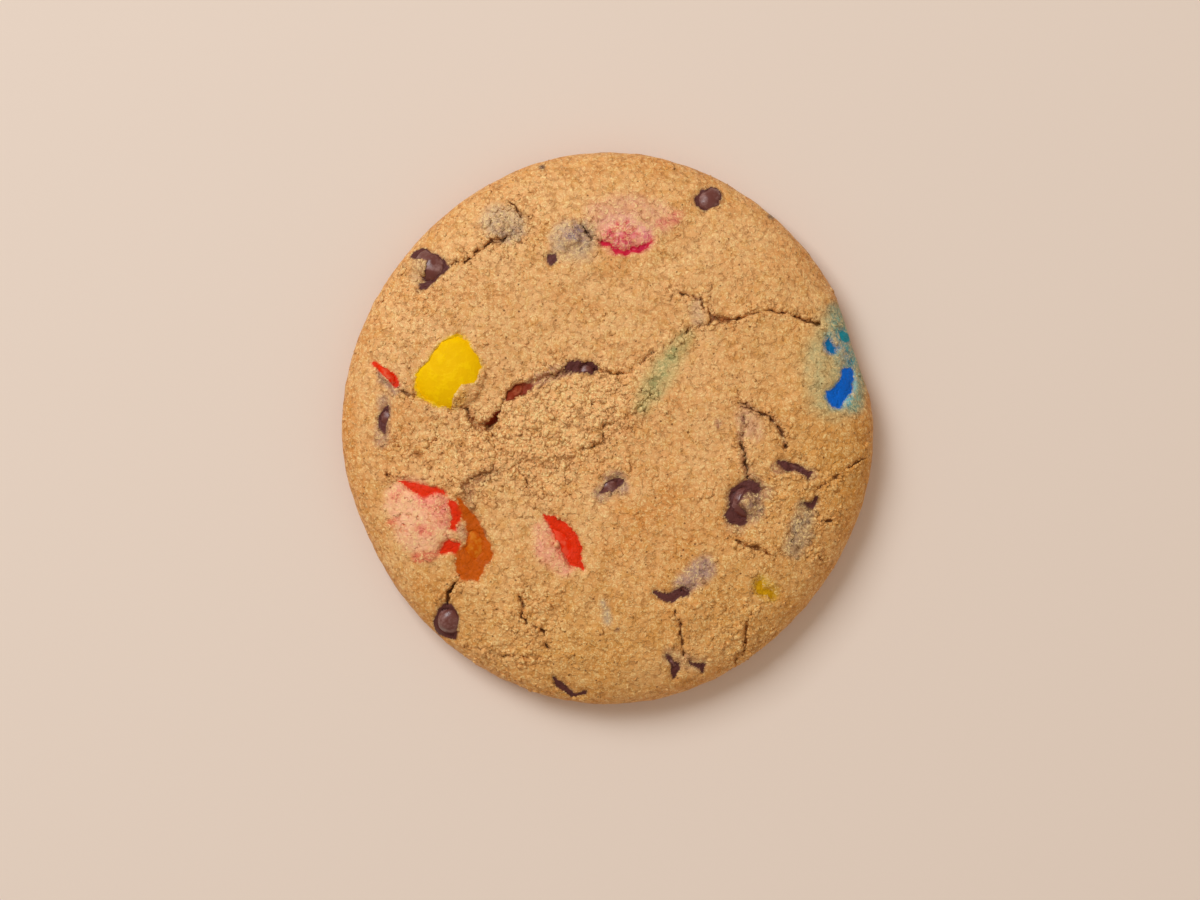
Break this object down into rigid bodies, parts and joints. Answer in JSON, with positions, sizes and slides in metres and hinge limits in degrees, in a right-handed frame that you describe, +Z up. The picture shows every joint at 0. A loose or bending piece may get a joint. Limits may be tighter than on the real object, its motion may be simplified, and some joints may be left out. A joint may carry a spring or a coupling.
{
  "type": "candy chip cookie",
  "caption": "Round soft-baked cookie with a cracked, crumbly top, with sugar-coated chocolate candies and chocolate chips baked in.",
  "frame": {"origin": "middle of the flat base", "axes": "+Z up through the domed top, +Y along the cookie's slightly longer diameter, towards the far edge"},
  "size_m": [0.0877, 0.091, 0.0138],
  "materials": {
    "dough": "matte",
    "candy_yellow": "satin",
    "candy_red": "satin",
    "candy_orange": "satin",
    "candy_pink": "satin",
    "candy_blue": "satin",
    "candy_brown": "satin",
    "chocolate": "satin"
  },
  "bodies": {
    "root": {"dough": "dough", "candy_yellow": "candy_yellow", "candy_red_left": "candy_red", "candy_red_right": "candy_red", "candy_red_shard": "candy_red", "candy_orange": "candy_orange", "candy_pink": "candy_pink", "candy_blue": "candy_blue", "candy_brown_shard": "candy_brown", "chip_01": "chocolate", "chip_02": "chocolate", "chip_03": "chocolate", "chip_04": "chocolate", "chip_05": "chocolate", "chip_06": "chocolate", "chip_07": "chocolate", "chip_08": "chocolate", "chip_09": "chocolate", "chip_10": "chocolate", "chip_11": "chocolate", "chip_12": "chocolate", "chip_13": "chocolate", "chip_14": "chocolate", "chip_15": "chocolate"}
  },
  "joints": []
}
